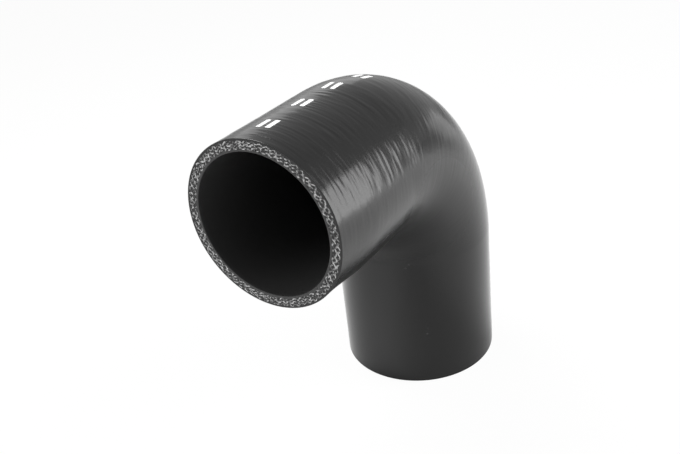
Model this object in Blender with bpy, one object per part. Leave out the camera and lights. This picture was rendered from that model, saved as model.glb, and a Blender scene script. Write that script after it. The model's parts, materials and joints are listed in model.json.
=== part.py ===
"""Silicone reducer elbow hose: one moulded, fabric-reinforced tube, bent through a right angle.

The hose stands on the cut end of its wider, lower leg, and its upper leg points along +X.
Metres, +Z up. The origin is under the middle of the hose, on the surface that it stands on.
"""

import math

import bmesh
import bpy
from mathutils import Matrix, Vector

# The two bores, and the wall of silicone and fabric that is the same all along.
LOWER_BORE_DIAMETER = 0.0635
UPPER_BORE_DIAMETER = 0.05715
WALL = 0.005

# The middle line: a straight lower leg, a quarter bend and a straight upper leg.
LOWER_LEG_LENGTH = 0.0645
BEND_RADIUS = 0.0550
BEND_ANGLE = math.radians(90.0)
UPPER_LEG_LENGTH = 0.0530

# The knife leaves the edges of both cut ends a little round.
EDGE_ROUND = 0.0003

# How finely the round forms are divided.
SEGMENTS_AROUND = 64
BEND_STEPS = 30
EDGE_STEPS = 2

# Faces that meet at more than this angle meet at a cut edge, or are drawn with a sharp one.
CUT_EDGE_ANGLE = math.radians(60.0)
SHARP_ANGLE = math.radians(40.0)

SILICONE_COLOUR = (0.022, 0.022, 0.023, 1.0)
SILICONE_ROUGHNESS = 0.3

LOWER_BORE_RADIUS = LOWER_BORE_DIAMETER / 2
UPPER_BORE_RADIUS = UPPER_BORE_DIAMETER / 2
BEND_CENTRE = Vector((BEND_RADIUS, 0.0, LOWER_LEG_LENGTH))
BEND_AXIS = Vector((0.0, 1.0, 0.0))
UP = Vector((0.0, 0.0, 1.0))


def clear_scene():
    """Takes away whatever the file starts with."""
    for thing in list(bpy.data.objects):
        bpy.data.objects.remove(thing)


def vertices_of(geometry):
    """The vertices in what a bmesh operator gives back."""
    return [item for item in geometry if isinstance(item, bmesh.types.BMVert)]


def ring_section(mesh):
    """The section at the foot: a flat ring of faces from the outer skin in to the bore."""
    outer_radius = LOWER_BORE_RADIUS + WALL
    skin = bmesh.ops.create_circle(mesh, segments=SEGMENTS_AROUND, radius=outer_radius)["verts"]
    skin_edges = list({edge for vertex in skin for edge in vertex.link_edges})
    section = bmesh.ops.extrude_edge_only(mesh, edges=skin_edges)["geom"]
    shrink = LOWER_BORE_RADIUS / outer_radius
    bmesh.ops.scale(mesh, vec=(shrink, shrink, shrink), verts=vertices_of(section))
    return mesh.verts[:] + mesh.edges[:] + mesh.faces[:]


def draw_out(mesh, section, along):
    """Extrudes the section straight along a leg, and gives the section at its far end."""
    drawn = bmesh.ops.extrude_face_region(mesh, geom=section)["geom"]
    bmesh.ops.translate(mesh, vec=along, verts=vertices_of(drawn))
    return drawn


def set_bore(section, middle, bore_before, bore_now):
    """Gives a section its bore's new radius, with the wall outside it as thick as before."""
    for vertex in vertices_of(section):
        offset = vertex.co - middle
        on_skin = offset.length > bore_before + WALL / 2
        radius = bore_now + WALL if on_skin else bore_now
        vertex.co = middle + offset.normalized() * radius


def turn_round_bend(mesh, section):
    """Spins the section round the bend in small steps, its bore changing evenly on the way."""
    foot_of_bend = Vector((-BEND_RADIUS, 0.0, 0.0))
    bore_change = (UPPER_BORE_RADIUS - LOWER_BORE_RADIUS) / BEND_STEPS
    bore = LOWER_BORE_RADIUS
    for step in range(1, BEND_STEPS + 1):
        section = bmesh.ops.spin(
            mesh,
            geom=section,
            cent=BEND_CENTRE,
            axis=BEND_AXIS,
            angle=BEND_ANGLE / BEND_STEPS,
            steps=1,
        )["geom_last"]
        turn = Matrix.Rotation(BEND_ANGLE * step / BEND_STEPS, 3, BEND_AXIS)
        set_bore(section, BEND_CENTRE + turn @ foot_of_bend, bore, bore + bore_change)
        bore += bore_change
    return section


def round_cut_edges(mesh):
    """Rounds the four circles where the knife's flat cuts meet the skin and the bore."""
    cut_edges = [edge for edge in mesh.edges if edge.calc_face_angle() > CUT_EDGE_ANGLE]
    bmesh.ops.bevel(
        mesh,
        geom=cut_edges,
        offset=EDGE_ROUND,
        offset_type="OFFSET",
        segments=EDGE_STEPS,
        profile=0.5,
        affect="EDGES",
        clamp_overlap=True,
    )


def hose_mesh():
    """The whole wall, as its section drawn along the middle line from the foot to the mouth."""
    mesh = bmesh.new()
    section = ring_section(mesh)
    section = draw_out(mesh, section, UP * LOWER_LEG_LENGTH)
    section = turn_round_bend(mesh, section)
    upper_direction = Matrix.Rotation(BEND_ANGLE, 3, BEND_AXIS) @ UP
    draw_out(mesh, section, upper_direction * UPPER_LEG_LENGTH)
    bmesh.ops.recalc_face_normals(mesh, faces=mesh.faces)
    round_cut_edges(mesh)
    data = bpy.data.meshes.new("elbow_hose")
    mesh.to_mesh(data)
    mesh.free()
    return data


def silicone_material():
    """Black silicone with a soft gloss."""
    material = bpy.data.materials.new("black_silicone")
    material.use_nodes = True
    shader = material.node_tree.nodes["Principled BSDF"]
    shader.inputs["Base Color"].default_value = SILICONE_COLOUR
    shader.inputs["Roughness"].default_value = SILICONE_ROUGHNESS
    shader.inputs["Metallic"].default_value = 0.0
    return material


def build_hose():
    """The hose, with the middle of its length in X over the origin."""
    data = hose_mesh()
    places = [vertex.co.x for vertex in data.vertices]
    middle = (min(places) + max(places)) / 2
    data.transform(Matrix.Translation((-middle, 0.0, 0.0)))
    data.materials.append(silicone_material())
    data.shade_smooth()
    data.set_sharp_from_angle(angle=SHARP_ANGLE)
    hose = bpy.data.objects.new("elbow_hose", data)
    bpy.context.scene.collection.objects.link(hose)


clear_scene()
build_hose()
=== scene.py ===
# %% [markdown]
# # A black silicone reducer elbow
# This lesson dresses a short engine hose: one thick wall of silicone and fabric, bent through a right
# angle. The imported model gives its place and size, and this script gives it its skin, its cut ends and
# its print.

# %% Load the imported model
import json
import math

import bpy
from mathutils import Matrix, Vector

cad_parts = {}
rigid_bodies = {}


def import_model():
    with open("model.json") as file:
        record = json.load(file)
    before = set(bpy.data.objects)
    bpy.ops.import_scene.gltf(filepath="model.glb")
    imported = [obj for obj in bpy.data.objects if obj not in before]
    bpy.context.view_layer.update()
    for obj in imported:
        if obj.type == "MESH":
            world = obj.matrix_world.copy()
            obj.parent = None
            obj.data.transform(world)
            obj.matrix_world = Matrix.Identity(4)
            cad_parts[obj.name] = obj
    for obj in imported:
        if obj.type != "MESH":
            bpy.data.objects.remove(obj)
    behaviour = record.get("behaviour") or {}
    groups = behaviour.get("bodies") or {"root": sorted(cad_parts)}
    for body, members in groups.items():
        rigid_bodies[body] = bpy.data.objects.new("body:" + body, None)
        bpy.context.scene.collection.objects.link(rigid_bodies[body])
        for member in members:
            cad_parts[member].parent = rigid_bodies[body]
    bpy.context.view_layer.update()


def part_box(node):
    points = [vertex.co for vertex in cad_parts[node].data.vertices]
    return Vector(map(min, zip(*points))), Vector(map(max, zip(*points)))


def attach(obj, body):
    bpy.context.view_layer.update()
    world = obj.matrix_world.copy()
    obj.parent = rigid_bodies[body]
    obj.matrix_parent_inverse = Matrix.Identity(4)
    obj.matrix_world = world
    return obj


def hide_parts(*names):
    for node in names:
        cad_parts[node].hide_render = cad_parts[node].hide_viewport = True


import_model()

# %% [markdown]
# ## Sizes
# A reducer elbow is bought by its two bores, its wall and its bend radius, so those are the numbers
# written here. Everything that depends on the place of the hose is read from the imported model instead:
# its foot stands at the low end of the box in X, and its mouth is cut at the high end. Points count as
# level with each other when they are closer than a hundredth of a millimetre.

# %% Sizes of the hose, in metres
FOOT_BORE = 0.0635 / 2
MOUTH_BORE = 0.05715 / 2
WALL = 0.005
BEND_RADIUS = 0.055
CLOSE = 0.00001

FOOT_SKIN = FOOT_BORE + WALL
MOUTH_SKIN = MOUTH_BORE + WALL

box_low, box_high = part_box("elbow_hose")
FOOT_X = box_low[0] + FOOT_SKIN
MOUTH_X = box_high[0]
UPPER_AXIS_Z = box_high[2] - MOUTH_SKIN

LOWER_LEG = UPPER_AXIS_Z - BEND_RADIUS
BEND_LENGTH = BEND_RADIUS * math.pi / 2
UPPER_LEG = MOUTH_X - FOOT_X - BEND_RADIUS
HOSE_LENGTH = LOWER_LEG + BEND_LENGTH + UPPER_LEG
print("The middle line is %.1f mm long" % (HOSE_LENGTH * 1000))

# %% [markdown]
# ## Picking before working
# An operator works on all that is selected, and a loaded model leaves its objects selected. These helpers
# leave only the wanted object, and only the wanted edges, before each step.

# %% Helpers that select
def pick(thing):
    """Leaves one object selected and active."""
    for other in bpy.context.view_layer.objects:
        other.select_set(False)
    thing.select_set(True)
    bpy.context.view_layer.objects.active = thing


def clear_choice(mesh):
    """Leaves no vertex, edge or face of a mesh selected."""
    for parts in (mesh.vertices, mesh.edges, mesh.polygons):
        parts.foreach_set("select", [False] * len(parts))


def open_edges(thing, test):
    """Enters edit mode with only those edges selected whose two ends pass a test."""
    mesh = thing.data
    clear_choice(mesh)
    places = [vertex.co for vertex in mesh.vertices]
    for edge in mesh.edges:
        edge.select = test(places[edge.vertices[0]], places[edge.vertices[1]])
    enter_edit(thing, "EDGE")


def enter_edit(thing, kind):
    """Enters edit mode on one object, selecting by vertex or by edge."""
    pick(thing)
    bpy.context.tool_settings.mesh_select_mode = (kind == "VERT", kind == "EDGE", False)
    bpy.ops.object.mode_set(mode="EDIT")


def enter_whole(thing):
    """Enters edit mode with the whole mesh selected."""
    enter_edit(thing, "VERT")
    bpy.ops.mesh.select_all(action="SELECT")


def leave_edit():
    """Goes back to object mode."""
    bpy.ops.object.mode_set(mode="OBJECT")


def apply_modifier(thing, kind, name, **settings):
    """Adds a modifier, sets it up and applies it at once."""
    pick(thing)
    modifier = thing.modifiers.new(name, kind)
    for key, value in settings.items():
        setattr(modifier, key, value)
    bpy.ops.object.modifier_apply(modifier=name)


def join(pieces, name):
    """Joins some objects into one and names it."""
    for other in bpy.context.view_layer.objects:
        other.select_set(other in pieces)
    bpy.context.view_layer.objects.active = pieces[-1]
    bpy.ops.object.join()
    joined = bpy.context.object
    joined.name = name
    return joined


def reach_of(place):
    """How far a point of the straight hose lies from its middle line."""
    return math.hypot(place.x, place.y)


# %% [markdown]
# ## The wall, still straight
# On the real hose, sheets of silicone and fabric are rolled on a bent steel mandrel and cured there. A
# tube could be spun round the bend directly, but a straight one is easier to detail: rings stay level,
# and every pattern runs along one axis. So a circle is drawn out along Z into the skin, in over the cut
# end, and back down through the bore.

# %% Draw the skin, the cut ends and the bore from one circle
RINGS_AROUND = 128

bpy.ops.mesh.primitive_circle_add(vertices=RINGS_AROUND, radius=FOOT_SKIN, fill_type="NOTHING")
hose = bpy.context.object
hose.name = "hose"
enter_whole(hose)


def draw_on(length, old_radius, new_radius):
    """Extrudes the open ring along the hose and gives it a new radius."""
    grow = new_radius / old_radius
    bpy.ops.mesh.extrude_region_move(TRANSFORM_OT_translate={"value": (0.0, 0.0, length)})
    bpy.ops.transform.resize(value=(grow, grow, 1.0))


draw_on(LOWER_LEG, FOOT_SKIN, FOOT_SKIN)
draw_on(BEND_LENGTH, FOOT_SKIN, MOUTH_SKIN)
draw_on(UPPER_LEG, MOUTH_SKIN, MOUTH_SKIN)
draw_on(0.0, MOUTH_SKIN, MOUTH_BORE)
draw_on(-UPPER_LEG, MOUTH_BORE, MOUTH_BORE)
draw_on(-BEND_LENGTH, MOUTH_BORE, FOOT_BORE)
draw_on(-LOWER_LEG, FOOT_BORE, FOOT_BORE)
draw_on(0.0, FOOT_BORE, FOOT_SKIN)
bpy.ops.mesh.select_all(action="SELECT")
bpy.ops.mesh.remove_doubles(threshold=CLOSE)
bpy.ops.mesh.normals_make_consistent(inside=False)
leave_edit()
print("The straight wall has", len(hose.data.polygons), "faces")

# %% [markdown]
# ## Fine rings
# The skin carries shallow ripples a millimetre or two apart, left by the tape that is wound round the
# hose while it cures. They need rings about 0.4 mm apart. The bore is smooth, so it needs fewer, and only
# for the bend. One call of the subdivide operator makes a hundred cuts at most, so the long edges are
# first cut into short pieces.

# %% Divide the skin, the bore and the cut ends
PIECE_LENGTH = 0.0173
SKIN_CUTS = 44
BORE_CUTS = 7
FACE_CUTS = 11
LONG_EDGE = 0.001
LENGTH_SLACK = 0.0001
ALMOST_WALL = WALL * 0.9


def along_bend(height):
    """How far up the bend a height on the straight hose lies, from 0 to 1."""
    return min(max((height - LOWER_LEG) / BEND_LENGTH, 0.0), 1.0)


def middle_of_wall(height):
    """The radius half way through the wall, at a height on the straight hose."""
    return FOOT_BORE + along_bend(height) * (MOUTH_BORE - FOOT_BORE) + WALL / 2


def on_skin_side(place):
    """True for a point of the straight hose that lies outside the middle of the wall."""
    return reach_of(place) > middle_of_wall(place.z)


def divide(test, cuts):
    """Makes a number of even cuts across all edges that pass a test."""
    open_edges(hose, test)
    bpy.ops.mesh.subdivide(number_cuts=cuts)
    leave_edit()


def runs_along(a, b):
    """True for an edge that follows the length of the hose."""
    return abs(a.z - b.z) > LONG_EDGE


for stretch in (LOWER_LEG, BEND_LENGTH, UPPER_LEG):
    pieces = round(stretch / PIECE_LENGTH)
    divide(lambda a, b: abs(abs(a.z - b.z) - stretch) < LENGTH_SLACK, pieces - 1)
divide(lambda a, b: runs_along(a, b) and on_skin_side(a), SKIN_CUTS)
divide(lambda a, b: runs_along(a, b) and not on_skin_side(a), BORE_CUTS)
divide(lambda a, b: abs(reach_of(a) - reach_of(b)) > ALMOST_WALL, FACE_CUTS)
print("With its fine rings it has", len(hose.data.polygons), "faces")

# %% [markdown]
# ## The knife's edges
# Both ends are cut square with a knife after curing. The cut edge isn't sharp to the touch: rubber gives
# a little as it is cut. A small bevel on the four circles makes the thin bright line that such an edge
# shows.

# %% Round the four cut circles
EDGE_ROUND = 0.0003


def is_cut_circle(a, b):
    """True for an edge on one of the four circles where a cut end meets the skin or the bore."""
    at_end = min(a.z, HOSE_LENGTH - a.z) < CLOSE and abs(a.z - b.z) < CLOSE
    runs_round = abs(reach_of(a) - reach_of(b)) < CLOSE
    from_middle = abs(reach_of(a) - middle_of_wall(a.z))
    return at_end and runs_round and from_middle > WALL / 2 - 5 * CLOSE


open_edges(hose, is_cut_circle)
bpy.ops.mesh.bevel(offset=EDGE_ROUND, segments=3, affect="EDGES")
leave_edit()
print("After the bevel it has", len(hose.data.polygons), "faces")

# %% [markdown]
# ## Names for the surfaces
# Three surfaces show: the glossy skin, the matt cut ends and the dull bore. Faces could be sorted out
# after the hose is bent, but on the straight hose the rule is plain: a cut face looks along Z, the skin
# looks away from the middle line, and the bore looks towards it. The straight place of every point is
# also kept as an attribute, so that a pattern in a material can follow the hose round its bend, and so is
# its share of the wall, from 0 at the bore to 1 at the skin. A third attribute says where the curing tape
# bunches up, on the inside of the bend and under the upper leg: the skin is duller there.

# %% Material slots and the straight place of every point
SKIN_SLOT, CUT_SLOT, BORE_SLOT = 0, 1, 2
LOOKS_ALONG = 0.9
DULL_UNDER_LEG = 0.36

for slot_name in ("black_silicone_skin", "cut_silicone", "silicone_bore"):
    hose.data.materials.append(bpy.data.materials.new(slot_name))


def looks_along(normal):
    """True for a face that looks more along the hose than away from it."""
    return abs(normal.z) > LOOKS_ALONG


for face in hose.data.polygons:
    if looks_along(face.normal):
        face.material_index = CUT_SLOT
    elif on_skin_side(face.center):
        face.material_index = SKIN_SLOT
    else:
        face.material_index = BORE_SLOT

straight_place = hose.data.attributes.new("straight_place", "FLOAT_VECTOR", "POINT")
through_wall = hose.data.attributes.new("through_wall", "FLOAT", "POINT")
bunched_tape = hose.data.attributes.new("bunched_tape", "FLOAT", "POINT")


def on_outer_side(place):
    """1 on the outer side of the bend, 0 on its inner side, and smooth between."""
    return 0.5 + 0.5 * place.x / reach_of(place)


def inside_of_bend(place):
    """1 in the middle of the bend's inner side, falling to 0 at its ends and its outer side."""
    return math.sin(math.pi * along_bend(place.z)) * (1.0 - on_outer_side(place))**2


def under_upper_leg(place):
    """0 on the lower leg and on top of the upper leg, growing to about a third on its underside."""
    return DULL_UNDER_LEG * along_bend(place.z) * (1.0 - on_outer_side(place))


for index, vertex in enumerate(hose.data.vertices):
    straight_place.data[index].vector = vertex.co
    through_wall.data[index].value = (reach_of(vertex.co) - middle_of_wall(vertex.co.z)) / WALL + 0.5
    bunched_tape.data[index].value = inside_of_bend(vertex.co) + under_upper_leg(vertex.co)
face_counts = [sum(face.material_index == index for face in hose.data.polygons) for index in range(3)]
print("Skin, cut and bore faces:", face_counts)

# %% [markdown]
# ## Ripples in the skin
# The curing tape leaves fine ridges that run round the hose, each a centimetre or so long. They are less
# than a fifth of a millimetre high, and they still tear the edge of every reflection. Broader, softer
# steps lie among them on the shoulders, where one turn of the tape laps over the next. A cloud texture
# that is squeezed along the hose and stretched round it gives such ridges, and the Displace modifier
# turns them into real relief. Nearly all of the relief goes inwards from the skin, so the hose keeps the
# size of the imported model.

# %% Ridges, laps and a hand-rolled unevenness
RIDGE_HEIGHT = 0.00019
RIDGE_LENGTH = 0.012
RIDGE_PITCH = 0.0014
LAP_HEIGHT = 0.00018
LAP_LENGTH = 0.006
LAP_PITCH = 0.0021
UNEVEN_HEIGHT = 0.00018
UNEVEN_SIZE = 0.030
SMOOTH_SIDE = 0.05
RIDGES_INSIDE = 0.2
LAP_GAIN = 2.8
INWARDS = 0.8

skin_group = hose.vertex_groups.new(name="skin")
ridge_group = hose.vertex_groups.new(name="ridges")
lap_group = hose.vertex_groups.new(name="laps")
for vertex in hose.data.vertices:
    spot = vertex.co
    if reach_of(spot) - middle_of_wall(spot.z) > WALL / 2 - CLOSE:
        taped = along_bend(spot.z) * on_outer_side(spot)**2 + RIDGES_INSIDE * inside_of_bend(spot)
        on_shoulder = (spot.y / reach_of(spot))**2 * on_outer_side(spot)**3
        skin_group.add([vertex.index], 1.0, "REPLACE")
        ridge_group.add([vertex.index], min(SMOOTH_SIDE + (1.0 - SMOOTH_SIDE) * taped, 1.0), "REPLACE")
        lap_group.add([vertex.index], min(LAP_GAIN * along_bend(spot.z) * on_shoulder, 1.0), "REPLACE")


def push_by_clouds(thing, name, height, scale, group="", direction="NORMAL", depth=1, rest=0.5):
    """Moves points by a cloud texture with lumps of a given size. Its rest grey moves nothing."""
    texture = bpy.data.textures.new(name, type="CLOUDS")
    texture.noise_scale = 1.0
    texture.noise_depth = depth
    guide = bpy.data.objects.new(name, None)
    guide.scale = scale
    bpy.context.collection.objects.link(guide)
    bpy.context.view_layer.update()
    apply_modifier(
        thing, "DISPLACE", name, texture=texture, strength=height, mid_level=rest, direction=direction,
        texture_coords="OBJECT", texture_coords_object=guide, vertex_group=group,
    )
    bpy.data.objects.remove(guide)


ridge_lump = (RIDGE_LENGTH, RIDGE_LENGTH, RIDGE_PITCH)
lap_lump = (LAP_LENGTH, LAP_LENGTH, LAP_PITCH)
push_by_clouds(hose, "ridges", RIDGE_HEIGHT, ridge_lump, group="ridges", rest=INWARDS)
push_by_clouds(hose, "laps", LAP_HEIGHT, lap_lump, group="laps", rest=INWARDS)
push_by_clouds(hose, "unevenness", UNEVEN_HEIGHT, (UNEVEN_SIZE,) * 3, group="skin", rest=INWARDS)
print("Ridges up to %.0f micrometres high" % (RIDGE_HEIGHT * 1000000))

# %% [markdown]
# ## The bulge inside the bend
# Sheets that fit the outside of a bend are too long for its inside, and there they bunch up. The mandrel
# pushes the fold ahead of the bend, so the wall is thickest just past it, under the upper leg. The bulge
# is a push outwards along the normals, and a vertex group says how much of it each point gets.

# %% Thicken the inner side of the bend
BULGE_HEIGHT = 0.0019
BULGE_PAST_BEND = 0.017
BULGE_FLAT = 0.009
BULGE_TO_MOUTH = 0.034
BULGE_TO_FOOT = 0.046


def bulge_weight(place):
    """1 in the middle of the bulge, falling smoothly to 0 at its ends and round to the outer side."""
    from_top = place.z - (LOWER_LEG + BEND_LENGTH + BULGE_PAST_BEND)
    reach = BULGE_TO_MOUTH if from_top > 0.0 else BULGE_TO_FOOT
    fall = min(max((abs(from_top) - BULGE_FLAT) / (reach - BULGE_FLAT), 0.0), 1.0)
    return (1.0 - fall * fall * (3.0 - 2.0 * fall)) * (1.0 - on_outer_side(place))**2


bulge_group = hose.vertex_groups.new(name="bulge")
for vertex in hose.data.vertices:
    if on_skin_side(vertex.co):
        bulge_group.add([vertex.index], bulge_weight(vertex.co), "REPLACE")
apply_modifier(hose, "DISPLACE", "bulge", strength=BULGE_HEIGHT, mid_level=0.0, vertex_group="bulge")
print("The bulge is up to %.1f mm thick" % (BULGE_HEIGHT * 1000))

# %% [markdown]
# ## A hollow for the fabric
# Silicone and yarn don't cut alike: the knife leaves the soft rubber between the yarns a few hundredths
# of a millimetre lower than their hard ends. So the fabric's zone of both cut faces is pushed in a
# little, and the solid liner and skin on either side stay at full height.

# %% Sink the fabric's zone of the cut faces
LINER = 0.00085
OUTER_SKIN = 0.00080
HOLLOW = 0.00006
HOLLOW_MARGIN = 0.0002


def in_fabric(place):
    """True for a point of a cut face that lies between the liner and the outer skin."""
    from_bore = reach_of(place) - middle_of_wall(place.z) + WALL / 2
    return LINER + HOLLOW_MARGIN < from_bore < WALL - OUTER_SKIN - HOLLOW_MARGIN


def sink(height, step):
    """Moves the fabric's zone of one cut face into the wall."""
    mesh = hose.data
    clear_choice(mesh)
    for vertex in mesh.vertices:
        vertex.select = abs(vertex.co.z - height) < CLOSE and in_fabric(vertex.co)
    enter_edit(hose, "VERT")
    bpy.ops.transform.translate(value=(0.0, 0.0, step))
    leave_edit()


sink(0.0, HOLLOW)
sink(HOSE_LENGTH, -HOLLOW)
print("The fabric's zone lies %.0f micrometres deep" % (HOLLOW * 1000000))

# %% [markdown]
# ## Bending the hose
# Now the tube is laid along its middle line: straight, a quarter of a circle, straight. The Curve
# modifier carries every point of the straight tube to its place beside that line, which is what the bent
# mandrel does to the sheets. A Bezier arc with handles of 0.5523 radii strays from a true circle by less
# than a thirtieth of a percent.

# %% Lay the tube along its middle line
ARC_HANDLE = 4 / 3 * math.tan(math.pi / 8) * BEND_RADIUS
LINE_STEPS = 256

bpy.ops.curve.primitive_bezier_curve_add(location=(0.0, 0.0, 0.0))
middle_line = bpy.context.object
middle_line.name = "middle_line"
middle_line.data.resolution_u = LINE_STEPS
middle_line.data.twist_mode = "MINIMUM"
corners = [
    Vector((FOOT_X, 0.0, 0.0)),
    Vector((FOOT_X, 0.0, LOWER_LEG)),
    Vector((FOOT_X + BEND_RADIUS, 0.0, UPPER_AXIS_Z)),
    Vector((MOUTH_X, 0.0, UPPER_AXIS_Z)),
]
points = middle_line.data.splines[0].bezier_points
points.add(len(corners) - len(points))
for point, corner in zip(points, corners):
    point.handle_left_type = "FREE"
    point.handle_right_type = "FREE"
    point.co = corner
for first, second in ((0, 1), (2, 3)):
    third_of_leg = (corners[second] - corners[first]) / 3
    points[first].handle_right = corners[first] + third_of_leg
    points[second].handle_left = corners[second] - third_of_leg
points[1].handle_right = corners[1] + Vector((0.0, 0.0, ARC_HANDLE))
points[2].handle_left = corners[2] - Vector((ARC_HANDLE, 0.0, 0.0))
points[0].handle_left = corners[0] - Vector((0.0, 0.0, LOWER_LEG / 3))
points[3].handle_right = corners[3] + Vector((UPPER_LEG / 3, 0.0, 0.0))

apply_modifier(hose, "CURVE", "bend", object=middle_line, deform_axis="POS_Z")
pick(hose)
bpy.ops.object.shade_smooth()
bpy.data.objects.remove(middle_line)
corners_of_box = [Vector(corner) for corner in hose.bound_box]
for axis, letter in enumerate("XYZ"):
    places = [corner[axis] * 1000 for corner in corners_of_box]
    print("The bent hose reaches from %.2f to %.2f mm in %s" % (min(places), max(places), letter))

# %% [markdown]
# ## The fabric in the cut ends
# Three layers of woven fabric lie in the wall, and each cut shows them as pale, wavy threads. In a weave
# a thread goes over one warp yarn and under the next, so seen from the end it is a wave, and the waves of
# neighbouring layers meet and part like links of a chain. A circle whose points lie in turn a little
# outside and inside a layer's middle makes such a wave once it is turned into a smooth curve.

# %% One wavy thread as a smooth curve
LAYERS = 3
LAYER_PITCH = (WALL - LINER - OUTER_SKIN) / LAYERS
WAVE_LENGTH = 0.0030
WAVE_HEIGHT = 0.00040
THREAD_WIDTH = 0.00050
THREAD_STEPS = 4


def wavy_ring(radius, crest_side):
    """Makes a closed thread round the origin, with its even or its odd points as the crests of a wave."""
    waves = round(math.tau * radius / WAVE_LENGTH)
    bpy.ops.mesh.primitive_circle_add(vertices=waves * 2, radius=radius, fill_type="NOTHING")
    thread = bpy.context.object
    for side in (0, 1):
        clear_choice(thread.data)
        for vertex in thread.data.vertices:
            vertex.select = vertex.index % 2 == side
        enter_edit(thread, "VERT")
        outward = 1.0 if side == crest_side else -1.0
        grow = 1.0 + outward * WAVE_HEIGHT / radius
        bpy.ops.transform.resize(value=(grow, grow, 1.0), center_override=(0.0, 0.0, 0.0))
        leave_edit()
    bpy.ops.object.convert(target="CURVE")
    bpy.ops.object.mode_set(mode="EDIT")
    bpy.ops.curve.select_all(action="SELECT")
    bpy.ops.curve.spline_type_set(type="BEZIER")
    bpy.ops.curve.handle_type_set(type="AUTOMATIC")
    bpy.ops.object.mode_set(mode="OBJECT")
    thread.data.dimensions = "3D"
    thread.data.resolution_u = THREAD_STEPS
    thread.data.bevel_depth = THREAD_WIDTH / 2
    thread.data.bevel_resolution = 1
    bpy.ops.object.convert(target="MESH")
    return bpy.context.object


print("The layers lie %.2f mm apart" % (LAYER_PITCH * 1000))

# %% [markdown]
# ## Warp yarns
# Between the waves the warp yarns run the length of the hose, and the knife cuts them square. One short
# rounded stub is made for each layer, and an Array modifier that turns each copy a little further round
# the hose sets out the rest.

# %% A ring of cut warp yarns
WARP_WIDTH = 0.00082
WARP_DEPTH = 0.0005
WARP_ROUND = WARP_WIDTH * 0.2


def warp_ring(radius):
    """Makes a ring of short warp yarns round the origin, one for each wave of a thread."""
    count = round(math.tau * radius / WAVE_LENGTH)
    bpy.ops.mesh.primitive_cylinder_add(
        vertices=8, radius=WARP_WIDTH / 2, depth=WARP_DEPTH, location=(radius, 0.0, 0.0),
    )
    warp = bpy.context.object
    bpy.ops.object.transform_apply(location=True, rotation=False, scale=False)
    apply_modifier(warp, "BEVEL", "rounded", width=WARP_ROUND, segments=1, limit_method="ANGLE")
    turner = bpy.data.objects.new("turner", None)
    turner.rotation_euler = (0.0, 0.0, math.tau / count)
    bpy.context.collection.objects.link(turner)
    bpy.context.view_layer.update()
    apply_modifier(
        warp, "ARRAY", "round_the_hose", count=count, use_relative_offset=False, use_object_offset=True,
        offset_object=turner,
    )
    bpy.data.objects.remove(turner)
    return warp


print("A warp yarn is %.2f mm wide" % (WARP_WIDTH * 1000))

# %% [markdown]
# ## Cutting the fabric
# No layer runs quite level with the knife, so a thread shows for a few millimetres and dips into the
# rubber again. Cloud textures push the threads a little about, also up and down. The knife is then a
# scaling to nothing: every point that stands out of the end is brought down into its plane, which leaves
# flat cut tops and a closed mesh. Each layer is cut a little deeper than the last, so that no two cut
# faces lie in one plane.

# %% Make the fabric of both ends, at the origin
# Each push: name, height, size of its lumps, direction, depth of detail and the grey that moves nothing
PUSHES = (
    ("swelling", 0.0004, 0.0009, "NORMAL", 1, 0.45),
    ("sideways", 0.0007, 0.0022, "X", 1, 0.5),
    ("sideways_too", -0.0007, 0.0031, "Y", 1, 0.5),
    ("level", 0.0008, 0.0018, "Z", 2, 0.42),
)
LAYER_STEP = 0.000005
FABRIC_SMOOTH_ANGLE = math.radians(50)

for yarn in ("soaked_yarn", "yarn_end"):
    bpy.data.materials.new(yarn)


def cut_level(thing, height):
    """Flattens all of a piece that lies below a height into a plane at that height."""
    clear_choice(thing.data)
    for vertex in thing.data.vertices:
        vertex.select = vertex.co.z < height
    enter_edit(thing, "VERT")
    bpy.ops.transform.resize(value=(1.0, 1.0, 0.0), center_override=(0.0, 0.0, height))
    leave_edit()


def fabric_of_end(name, bore):
    """Makes the threads and warp yarns that show in one cut end, which looks down from the origin."""
    pieces = []
    for layer in range(LAYERS):
        radius = bore + LINER + LAYER_PITCH * (layer + 0.5)
        wave = wavy_ring(radius, layer % 2)
        ends = warp_ring(radius)
        for piece, yarn in ((wave, "soaked_yarn"), (ends, "yarn_end")):
            piece.data.materials.append(bpy.data.materials[yarn])
            for push, height, lump, direction, depth, rest in PUSHES:
                push_by_clouds(piece, push, height, (lump,) * 3, "", direction, depth, rest)
            cut_level(piece, layer * LAYER_STEP)
            pieces.append(piece)
    fabric = join(pieces, name)
    enter_whole(fabric)
    bpy.ops.mesh.normals_make_consistent(inside=False)
    leave_edit()
    bpy.ops.object.shade_smooth_by_angle(angle=FABRIC_SMOOTH_ANGLE)
    print(name, "has", len(fabric.data.polygons), "faces")
    return fabric


foot_fabric = fabric_of_end("fabric_at_foot", FOOT_BORE)
mouth_fabric = fabric_of_end("fabric_at_mouth", MOUTH_BORE)

# %% [markdown]
# ## Laying the fabric in its places
# Both ends were made level at the origin. The foot's fabric only slides to its place, and the mouth's is
# first turned so that its cut side looks out of the mouth. The places go into the meshes, and the objects
# stay at the origin.

# %% Move the fabric to the two cut ends
def lay(thing, place, turn):
    """Turns a piece, moves it to its place, and writes both into its mesh."""
    pick(thing)
    thing.rotation_euler = turn
    thing.location = place
    bpy.ops.object.transform_apply(location=True, rotation=True, scale=True)


lay(foot_fabric, (FOOT_X, 0.0, 0.0), (0.0, 0.0, 0.0))
lay(mouth_fabric, (MOUTH_X, 0.0, UPPER_AXIS_Z), (0.0, -math.pi / 2, 0.0))

# %% [markdown]
# ## The printed marks
# Four white marks are printed along the top of the hose. Here they are plain pairs of bars, which say
# nothing. Ink lies on the skin and follows it, so each bar starts as a flat plate above the hose, with
# its corners rounded. Fine cuts let it bend, a Shrinkwrap modifier drops it on the skin, and a Solidify
# modifier gives the ink its thickness.

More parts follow.
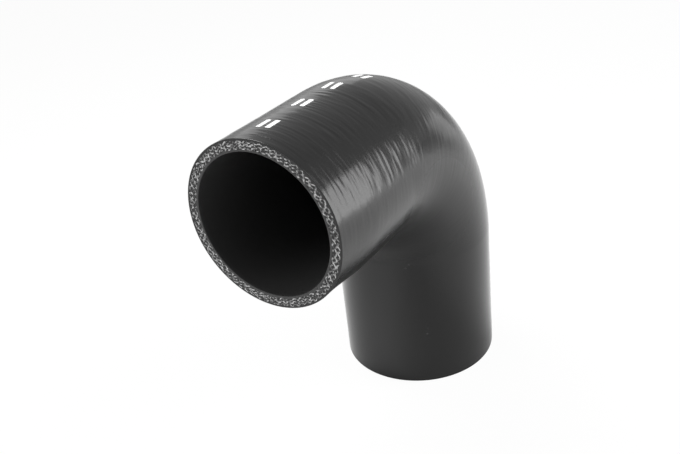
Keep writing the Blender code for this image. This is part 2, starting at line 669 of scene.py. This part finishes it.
# %% Print four pairs of bars
BAR_LENGTH = 0.0072
BAR_WIDTH = 0.0021
BAR_GAP = 0.0040
BAR_ROUND = 0.0006
INK = 0.00003
INK_LIFT = 0.00001
PLATE_ABOVE = 0.01
CUT_ALONG = 0.00035
ALONG_STEPS = range(-10, 11)
CUT_ACROSS = 0.0005
ACROSS_STEPS = range(-2, 3)
INK_SMOOTH_ANGLE = math.radians(40)
MARK_PLACES = ((0.0581, -0.0011), (0.0362, -0.0014), (0.0166, -0.0006), (-0.0012, 0.0022))


def cut_plate(place, normal):
    """Cuts the plate that is in edit mode along one plane."""
    bpy.ops.mesh.select_all(action="SELECT")
    bpy.ops.mesh.bisect(plane_co=place, plane_no=normal)


def print_bar(x, y):
    """Makes one bar of ink on top of the hose, over a place."""
    bpy.ops.mesh.primitive_plane_add(size=1.0, location=(x, y, box_high[2] + PLATE_ABOVE))
    bar = bpy.context.object
    bar.scale = (BAR_LENGTH, BAR_WIDTH, 1.0)
    bpy.ops.object.transform_apply(location=True, rotation=True, scale=True)
    enter_whole(bar)
    bpy.ops.mesh.bevel(offset=BAR_ROUND, segments=4, affect="VERTICES")
    for step in ALONG_STEPS:
        cut_plate((x + step * CUT_ALONG, 0.0, 0.0), (1.0, 0.0, 0.0))
    for step in ACROSS_STEPS:
        cut_plate((0.0, y + step * CUT_ACROSS, 0.0), (0.0, 1.0, 0.0))
    leave_edit()
    apply_modifier(
        bar, "SHRINKWRAP", "onto_skin", target=hose, wrap_method="PROJECT", use_project_z=True,
        use_negative_direction=True, use_positive_direction=False, offset=INK_LIFT,
    )
    apply_modifier(bar, "SOLIDIFY", "ink", thickness=INK, offset=1.0)
    return bar


bars = []
for mark_x, mark_y in MARK_PLACES:
    for side in (-1, 1):
        bars.append(print_bar(mark_x, mark_y + side * BAR_GAP / 2))
marks = join(bars, "printed_marks")
bpy.ops.object.shade_smooth_by_angle(angle=INK_SMOOTH_ANGLE)
print("The marks have", len(marks.data.polygons), "faces")

# %% [markdown]
# ## Materials as arithmetic
# A procedural material is a sum of masks and noises. Wiring it node by node hides the sum, so a small
# class wraps a socket, and adding or multiplying two of them adds the Math node that does it.

# %% A socket that can be calculated with
class Wire:
    """One output of a shader node, which can be added, multiplied and compared like a number."""

    def __init__(self, paint, socket):
        self.paint = paint
        self.socket = socket

    def __add__(self, other):
        return self.paint.math("ADD", self, other)

    def __radd__(self, other):
        return self.paint.math("ADD", other, self)

    def __rsub__(self, other):
        return self.paint.math("SUBTRACT", other, self)

    def __mul__(self, other):
        return self.paint.math("MULTIPLY", self, other)

    def __rmul__(self, other):
        return self.paint.math("MULTIPLY", other, self)

    def __gt__(self, other):
        return self.paint.math("GREATER_THAN", self, other)

    def __lt__(self, other):
        return self.paint.math("LESS_THAN", self, other)


print("A wire can now be added, multiplied and compared")

# %% [markdown]
# ## Nodes with plain names
# Every material here is made of the same few kinds of node: a place, a noise, a grey, a bump and a
# surface. A second class has a method for each of them, so that a material reads as a short list of what
# it shows.

# %% The nodes of one material
class Paint:
    """The nodes of one material or world."""

    def __init__(self, owner):
        owner.use_nodes = True
        self.tree = owner.node_tree
        self.tree.nodes.clear()

    def node(self, kind, settings=None, sockets=None, output=0):
        """Adds a node, sets its options first, then its sockets, and gives back one output."""
        made = self.tree.nodes.new(kind)
        for name, value in (settings or {}).items():
            setattr(made, name, value)
        for name, value in (sockets or {}).items():
            self.plug(made.inputs[name], value)
        return Wire(self, made.outputs[output]) if len(made.outputs) else None

    def plug(self, socket, value):
        """Links a wire to a socket, or writes a plain value in it."""
        if isinstance(value, Wire):
            self.tree.links.new(value.socket, socket)
        else:
            socket.default_value = value

    def math(self, operation, first, second):
        """Adds one Math node."""
        return self.node("ShaderNodeMath", {"operation": operation}, {0: first, 1: second})

    def place(self):
        """The place of a point on the piece, in metres."""
        return self.node("ShaderNodeTexCoord", None, None, "Object")

    def attribute(self, name, output):
        """A value that the mesh carries at its points."""
        return self.node("ShaderNodeAttribute", {"attribute_name": name}, None, output)

    def stretched(self, vector, scale):
        """A place that is squeezed or stretched by a scale along X, Y and Z."""
        return self.node("ShaderNodeMapping", None, {"Vector": vector, "Scale": scale})

    def noise(self, vector, scale, detail):
        """A cloudy pattern from 0 to 1, with a scale in clouds per metre."""
        sockets = {"Vector": vector, "Scale": scale, "Detail": detail}
        return self.node("ShaderNodeTexNoise", None, sockets, "Fac")

    def contrast(self, value, low, high):
        """A value that is 0 below one level, 1 above another, and grows evenly between."""
        return self.node("ShaderNodeMapRange", None, {0: value, 1: low, 2: high, 3: 0.0, 4: 1.0})

    def tint(self, grey):
        """The colour of a grey that varies."""
        return self.node("ShaderNodeCombineColor", None, {0: grey, 1: grey, 2: grey})

    def blend(self, share, first, second):
        """A colour between two others."""
        sockets = {"Factor": share, 6: first, 7: second}
        return self.node("ShaderNodeMix", {"data_type": "RGBA"}, sockets, 2)

    def relief(self, height, strength, distance):
        """Relief that is too fine for the mesh."""
        sockets = {"Strength": strength, "Distance": distance, "Height": height}
        return self.node("ShaderNodeBump", None, sockets)

    def coat(self, colour, roughness, ior, relief=None):
        """Covers the material with one glossy or matt surface."""
        sockets = {"Base Color": colour, "Roughness": roughness, "IOR": ior}
        if relief is not None:
            sockets["Normal"] = relief
        shader = self.node("ShaderNodeBsdfPrincipled", None, sockets)
        self.node("ShaderNodeOutputMaterial", None, {"Surface": shader})


def plain_grey(level):
    """An opaque grey."""
    return (level, level, level, 1.0)


SILICONE_IOR = 1.45
print("Materials can now be written as sums")

# %% [markdown]
# ## Glossy black skin
# Cured silicone is as shiny as the tape that pressed it. Its black is deep, with a little grey haze from
# the filler, and its gloss differs a little from place to place. The fine grain of the tape is too small
# for the mesh, so it is a bump, on the straight place of the hose so that it runs round the bend. A few
# specks of dust lie on the lower leg.

# %% The skin's material
SPECKS = (
    ((-0.0018, 0.0143, 0.0632), 0.0004),
    ((-0.0024, 0.0158, 0.0650), 0.0004),
    ((-0.0054, 0.0209, 0.0272), 0.0005),
    ((-0.0058, 0.0214, 0.0299), 0.0003),
)
DEEP_BLACK = 0.0028
HAZY_BLACK = 0.0052
DUST_GREY = 0.035
LEAST_ROUGH = 0.10
SMEAR_ROUGH = 0.08
BUNCHED_ROUGH = 0.5

paint = Paint(bpy.data.materials["black_silicone_skin"])
straight = paint.attribute("straight_place", "Vector")
bunched = paint.attribute("bunched_tape", "Fac")
place = paint.place()
haze = paint.noise(straight, scale=60.0, detail=2.0)
smears = paint.noise(paint.stretched(straight, (1.0, 1.0, 6.0)), scale=45.0, detail=3.0)
fine_ridges = paint.noise(paint.stretched(straight, (1.0, 1.0, 14.0)), scale=110.0, detail=3.0)


def speck(spot, size):
    """A mask that is 1 on one small speck and 0 elsewhere."""
    settings = {"operation": "DISTANCE"}
    distance = paint.node("ShaderNodeVectorMath", settings, {0: place, 1: spot}, "Value")
    return distance < size


dust = sum(speck(spot, size) for spot, size in SPECKS)
black = paint.blend(haze, plain_grey(DEEP_BLACK), plain_grey(HAZY_BLACK))
skin_colour = paint.blend(dust, black, plain_grey(DUST_GREY))
roughness = LEAST_ROUGH + SMEAR_ROUGH * smears + BUNCHED_ROUGH * bunched
tape_grain = paint.relief(fine_ridges, strength=0.12, distance=0.00003)
paint.coat(skin_colour, roughness, SILICONE_IOR, tape_grain)
print("The skin's roughness starts at %.2f and has %d specks" % (LEAST_ROUGH, len(SPECKS)))

# %% [markdown]
# ## Cut silicone
# A cut through rubber is matt and greyer than its skin, because it is rough on the scale of light. The
# liner shows a little paler than the rubber that soaks the fabric, and the outer skin is about as dark as
# that rubber.

# %% The cut faces' material
LINER_GREY = 0.055
OUTER_SKIN_GREY = 0.022
SOAKED_GREY = 0.010
MOTTLE_GREY = 0.025
CUT_ROUGH = 0.55

paint = Paint(bpy.data.materials["cut_silicone"])
place = paint.place()
share = paint.attribute("through_wall", "Fac")
mottle = paint.noise(place, scale=900.0, detail=3.0)
in_liner = share < LINER / WALL
in_skin = share > 1.0 - OUTER_SKIN / WALL
soaked = (SOAKED_GREY + MOTTLE_GREY * mottle) * (1.0 - in_liner) * (1.0 - in_skin)
grey = soaked + in_liner * LINER_GREY + in_skin * OUTER_SKIN_GREY
torn = paint.relief(mottle, strength=0.5, distance=0.00006)
paint.coat(paint.tint(grey), CUT_ROUGH, SILICONE_IOR, torn)
print("The liner band is %.2f mm wide" % (LINER * 1000))

# %% [markdown]
# ## The bore
# The inside was pressed on the mandrel, and it is smooth but dull, with faint marks where the hose slid
# off.

# %% The bore's material
BORE_GREY = 0.026
SLIDE_GREY = 0.020
BORE_ROUGH = 0.42
SLIDE_ROUGH = 0.12

paint = Paint(bpy.data.materials["silicone_bore"])
straight = paint.attribute("straight_place", "Vector")
slides = paint.noise(paint.stretched(straight, (1.0, 1.0, 0.12)), scale=260.0, detail=3.0)
grey = BORE_GREY + SLIDE_GREY * slides
roughness = BORE_ROUGH + SLIDE_ROUGH * slides
scratches = paint.relief(slides, strength=0.3, distance=0.00004)
paint.coat(paint.tint(grey), roughness, SILICONE_IOR, scratches)
print("The bore's roughness is %.2f to %.2f" % (BORE_ROUGH, BORE_ROUGH + SLIDE_ROUGH))

# %% [markdown]
# ## Yarn and ink
# The yarn is white polyester that black rubber has soaked and smeared, so it runs from nearly white to
# nearly black within a millimetre or two. The cut ends of the warp yarns stay the palest, because their
# fibres stand on end there. The ink is a plain white with a slight sheen, worn a little thin in places.

# %% The materials of the yarn and of the ink
YARN_IOR = 1.5
YARN_ROUGH = 0.6
WORN_INK = 0.55
FRESH_INK = 0.80
INK_ROUGH = 0.45


def paint_yarn(name, darkest, palest):
    """Paints one kind of yarn in smears between two greys."""
    paint = Paint(bpy.data.materials[name])
    place = paint.place()
    fibre = paint.noise(place, scale=5000.0, detail=2.0)
    smear = paint.noise(place, scale=800.0, detail=2.0)
    pale = paint.contrast(smear, low=0.42, high=0.62)
    grey = (darkest + (palest - darkest) * pale) * (0.8 + 0.4 * fibre)
    frayed = paint.relief(fibre, strength=0.5, distance=0.00003)
    paint.coat(paint.tint(grey), YARN_ROUGH, YARN_IOR, frayed)


paint_yarn("soaked_yarn", darkest=0.05, palest=0.68)
paint_yarn("yarn_end", darkest=0.20, palest=1.0)

ink = bpy.data.materials.new("white_ink")
paint = Paint(ink)
wear = paint.noise(paint.place(), scale=1400.0, detail=3.0)
kept = paint.contrast(wear, low=0.30, high=0.42)
grey = WORN_INK + (FRESH_INK - WORN_INK) * kept
paint.coat(paint.tint(grey), INK_ROUGH, SILICONE_IOR)
marks.data.materials.append(ink)
print("Yarn and ink are in place")

# %% [markdown]
# ## A pale studio floor
# A product photo stands its subject on a wide white sheet. Here the sheet is one plane. The camera sees
# it almost as white as the empty background, which leaves only a faint shadow, while light bounces off it
# as off matt white paint.

# %% The floor, seen by the camera as white
FLOOR_WIDTH = 8.0
FLOOR_PAINT = 0.85
WHITE_WHEN_SEEN = 0.95
WHITE_WHEN_MIRRORED = 0.07
WHITE = plain_grey(1.0)


def kinds_of_ray(paint):
    """Masks for the rays that come from the camera, from a gloss and through glass."""
    rays = paint.node("ShaderNodeLightPath")
    outputs = rays.socket.node.outputs
    names = ("Is Camera Ray", "Is Glossy Ray", "Is Transmission Ray")
    return [Wire(paint, outputs[name]) for name in names]


bpy.ops.mesh.primitive_plane_add(size=FLOOR_WIDTH, location=(0.0, 0.0, 0.0))
floor = bpy.context.object
floor.name = "studio_floor"
floor_paint = bpy.data.materials.new("pale_floor")
floor.data.materials.append(floor_paint)
paint = Paint(floor_paint)
matt = paint.node("ShaderNodeBsdfDiffuse", None, {"Color": plain_grey(FLOOR_PAINT)})
white = paint.node("ShaderNodeEmission", None, {"Color": WHITE, "Strength": 1.0})
seen, mirrored, through = kinds_of_ray(paint)
share = (seen + through) * WHITE_WHEN_SEEN + mirrored * WHITE_WHEN_MIRRORED
mixed = paint.node("ShaderNodeMixShader", None, {0: share, 1: matt, 2: white})
paint.node("ShaderNodeOutputMaterial", None, {"Surface": mixed})
print("The floor is %.0f m wide" % FLOOR_WIDTH)

# %% [markdown]
# ## A white room
# The walls of the studio are far off and even, so the world is one flat white. It lights the hose softly,
# shows stronger in its gloss, and is pure white where the camera looks past the hose.

# %% The world, in one even white
AMBIENT = 0.36
MORE_IN_GLOSS = 0.28

world = bpy.data.worlds.new("white_studio")
bpy.context.scene.world = world
paint = Paint(world)
seen, mirrored, through = kinds_of_ray(paint)
strength = AMBIENT + (1.0 - AMBIENT) * (seen + through) + MORE_IN_GLOSS * mirrored
sky = paint.node("ShaderNodeBackground", None, {"Color": WHITE, "Strength": strength})
paint.node("ShaderNodeOutputWorld", None, {"Surface": sky})
print("The room's own light has a strength of", AMBIENT)

# %% [markdown]
# ## Softboxes
# A glossy black thing is seen by what it mirrors, so each soft lamp stands where a highlight of the
# photograph says that one stood. The one on the right makes the broad bright patch on the upper leg, and
# the high one in front lights the floor, which the lower leg mirrors. A lamp's energy is spread over its
# face, so the helper works it out from the brightness that the face should show.

# %% Six soft lamps and a card
# Each lamp: name, place, point that it looks at, width, height and brightness of its face
LAMPS = (
    ("right_softbox", (-0.325, 0.511, 0.18), (0.318, -0.255, 0.18), 0.30, 0.36, 5.0),
    ("key_softbox", (-0.15, -0.32, 0.60), (-0.04, -0.08, 0.0), 0.32, 0.32, 9.4),
    ("left_fill", (0.09, -0.34, 0.60), (0.0, -0.1, 0.0), 0.3, 0.3, 1.3),
    ("right_fill", (-0.2, 0.5, 0.5), (-0.05, 0.1, 0.0), 0.4, 0.4, 5.4),
    ("front_left_fill", (0.34, -0.28, 0.35), (0.06, -0.05, 0.0), 0.25, 0.25, 3.0),
    ("far_card", (-0.776, 0.194, 0.10), (0.0, 0.0, 0.10), 0.26, 0.20, 0.85),
    ("back_left_softbox", (-0.668, -0.520, 0.36), (0.0, 0.0, 0.12), 0.36, 0.26, 0.5),
)


def softbox(name, place, aim, width, height, radiance):
    """Hangs a rectangular soft lamp that looks at a point, with the brightness that its face shows."""
    lamp = bpy.data.lights.new(name, "AREA")
    lamp.shape = "RECTANGLE"
    lamp.size = width
    lamp.size_y = height
    lamp.energy = radiance * math.pi * width * height
    stand = bpy.data.objects.new(name, lamp)
    stand.location = place
    stand.rotation_euler = (Vector(aim) - Vector(place)).to_track_quat("-Z", "Y").to_euler()
    bpy.context.collection.objects.link(stand)


for lamp_settings in LAMPS:
    softbox(*lamp_settings)
print("There are", len(LAMPS) - 1, "soft lamps and one card")

# %% [markdown]
# ## The camera
# The view was found by fitting the outline of the hose to the photograph's. The three directions are the
# camera's own axes in the world: to its right, up, and back towards the photographer.

# %% The camera of the photograph
CAMERA_PLACE = (0.265233, 0.168555, 0.249306)

camera_data = bpy.data.cameras.new("photo_camera")
camera = bpy.data.objects.new("photo_camera", camera_data)
bpy.context.collection.objects.link(camera)
camera_data.lens = 42.790
camera_data.sensor_width = 36.0
camera_data.clip_start = 0.01
right = Vector((-0.5210753, 0.84636717, -0.11019593))
up = Vector((-0.4494968, -0.16237098, 0.87840099))
back = Vector((0.72555714, 0.50724578, 0.46504684))
turn = Matrix((right, up, back)).transposed().to_4x4()
camera.matrix_world = Matrix.Translation(CAMERA_PLACE) @ turn
bpy.context.scene.camera = camera
print("The camera has a %.1f mm lens" % camera_data.lens)

# %% [markdown]
# ## Joining the imported model
# Every piece rides on the hose's one body, and the dressed hose takes the place of the plain packed one.

# %% Ride, replace and finish
bpy.context.scene.view_settings.view_transform = "Standard"
for piece in (hose, foot_fabric, mouth_fabric, marks):
    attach(piece, "root")
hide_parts("elbow_hose")
bpy.context.view_layer.update()
